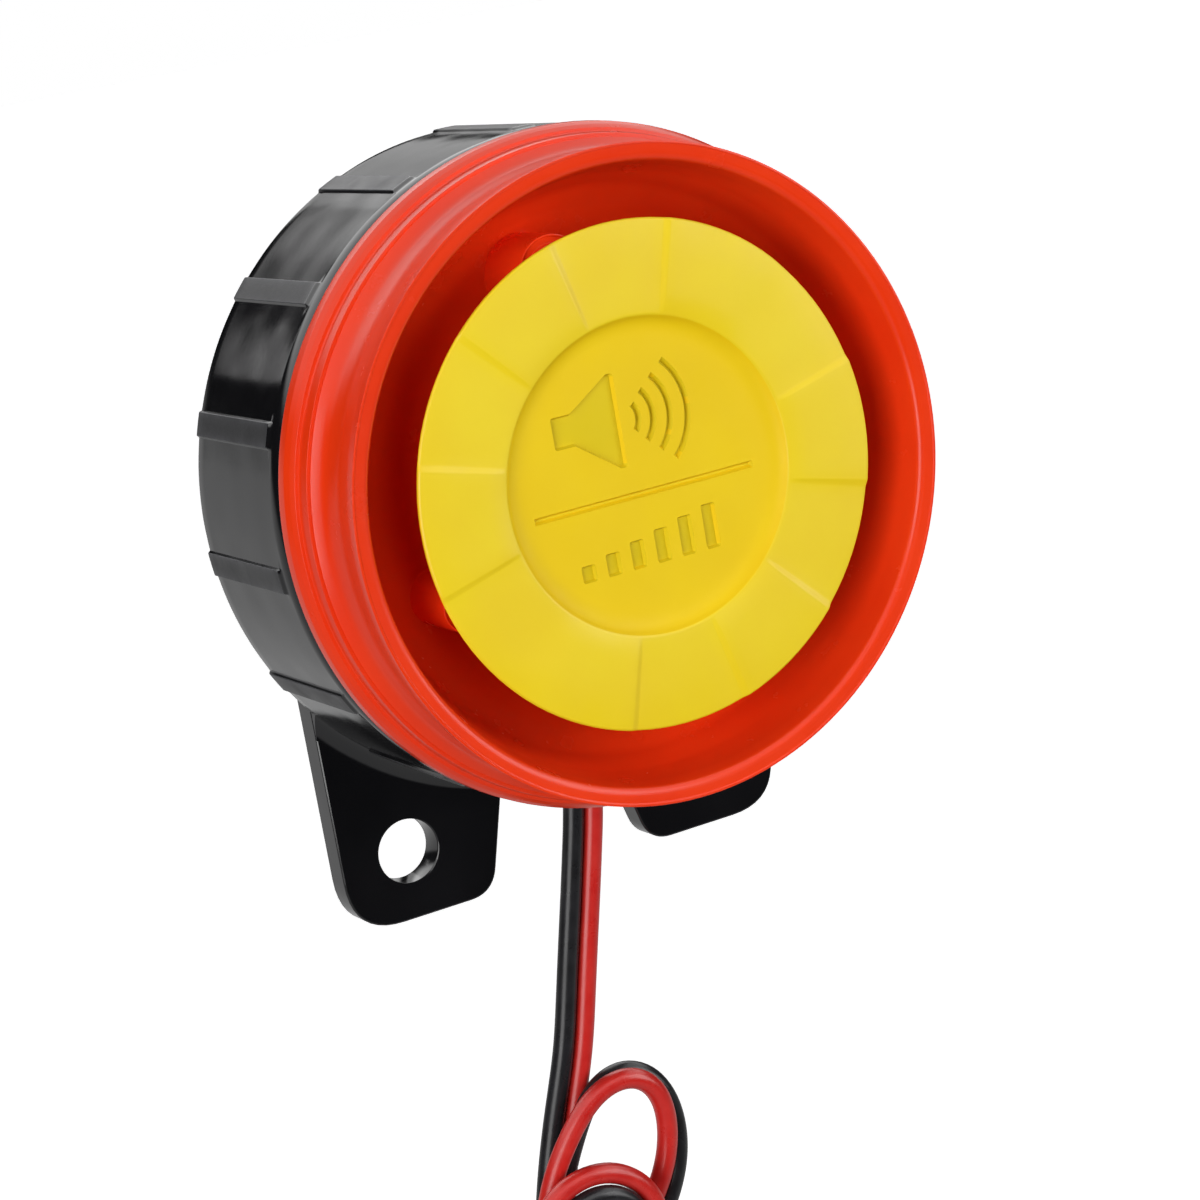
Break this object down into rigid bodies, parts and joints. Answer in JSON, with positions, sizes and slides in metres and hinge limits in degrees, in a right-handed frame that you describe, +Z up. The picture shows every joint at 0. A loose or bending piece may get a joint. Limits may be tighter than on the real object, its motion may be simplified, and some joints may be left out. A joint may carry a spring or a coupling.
{
  "type": "alarm siren",
  "caption": "Round electronic alarm siren: red horn shell with a yellow front disc, ribbed black rear housing with two mounting ears, and a pair of supply wires hanging from it.",
  "frame": {"origin": "centre of the flat rear face, on the horn's axis", "axes": "+Z up, +Y backwards out of the rear face, so the mouth of the horn faces -Y; +X to the right for someone who looks at the horn from the front"},
  "size_m": [0.055, 0.0299, 0.1239],
  "materials": {
    "red_shell": "moulded ABS, satin gloss",
    "yellow_disc": "moulded ABS, soft satin",
    "black_housing": "moulded ABS, high gloss",
    "black_plastic": "moulded plastic, satin",
    "black_rubber": "moulded rubber, matte",
    "foam": "closed-cell foam",
    "film": "polyester film",
    "copper": "enamelled copper winding",
    "steel": "zinc-plated steel",
    "ferrite": "sintered ferrite",
    "brass": "bright brass",
    "board": "solder-masked glass-fibre board",
    "red_wire": "soft PVC insulation, satin gloss",
    "black_wire": "soft PVC insulation, satin gloss",
    "capacitor_sleeve": "shrink sleeve",
    "ceramic": "fired ceramic",
    "tinned": "tinned copper strands"
  },
  "bodies": {
    "casing": {"horn_shell": "red_shell", "front_disc": "yellow_disc", "rear_housing": "black_housing", "seal_ring": "black_rubber", "housing_screw_1": "steel", "housing_screw_2": "steel", "housing_screw_3": "steel", "driver_gasket": "foam", "driver_chassis": "black_plastic", "driver_screw_1": "steel", "driver_screw_2": "steel", "driver_screw_3": "steel", "diaphragm_surround": "black_rubber", "top_plate": "steel", "ring_magnet": "ferrite", "yoke": "steel", "terminal_strip": "board", "terminal_lug_upper": "brass", "terminal_lug_lower": "brass", "coil_lead_upper": "red_wire", "coil_lead_lower": "black_wire", "circuit_board": "board", "oscillator_chip": "black_plastic", "driver_transistor": "black_plastic", "chip_resistor_1": "black_plastic", "chip_resistor_2": "black_plastic", "chip_resistor_3": "black_plastic", "ceramic_capacitor": "ceramic", "protection_diode": "black_plastic", "electrolytic_capacitor": "capacitor_sleeve", "cable_grommet": "black_rubber", "inner_lead_black": "black_wire", "black_wire": "black_wire", "black_wire_end": "tinned", "inner_lead_red": "red_wire", "red_wire": "red_wire", "red_wire_end": "tinned", "wire_hank": "black_wire", "wire_tie": "black_plastic"},
    "diaphragm": {"diaphragm_dome": "film", "coil_former": "film", "voice_coil": "copper"}
  },
  "joints": [
    {"name": "diaphragm_travel", "type": "slide", "parent": "casing", "child": "diaphragm", "axis": [0, 1, 0], "range_m": [-0.0004, 0.0004], "stiffness_N_per_m": 900}
  ]
}
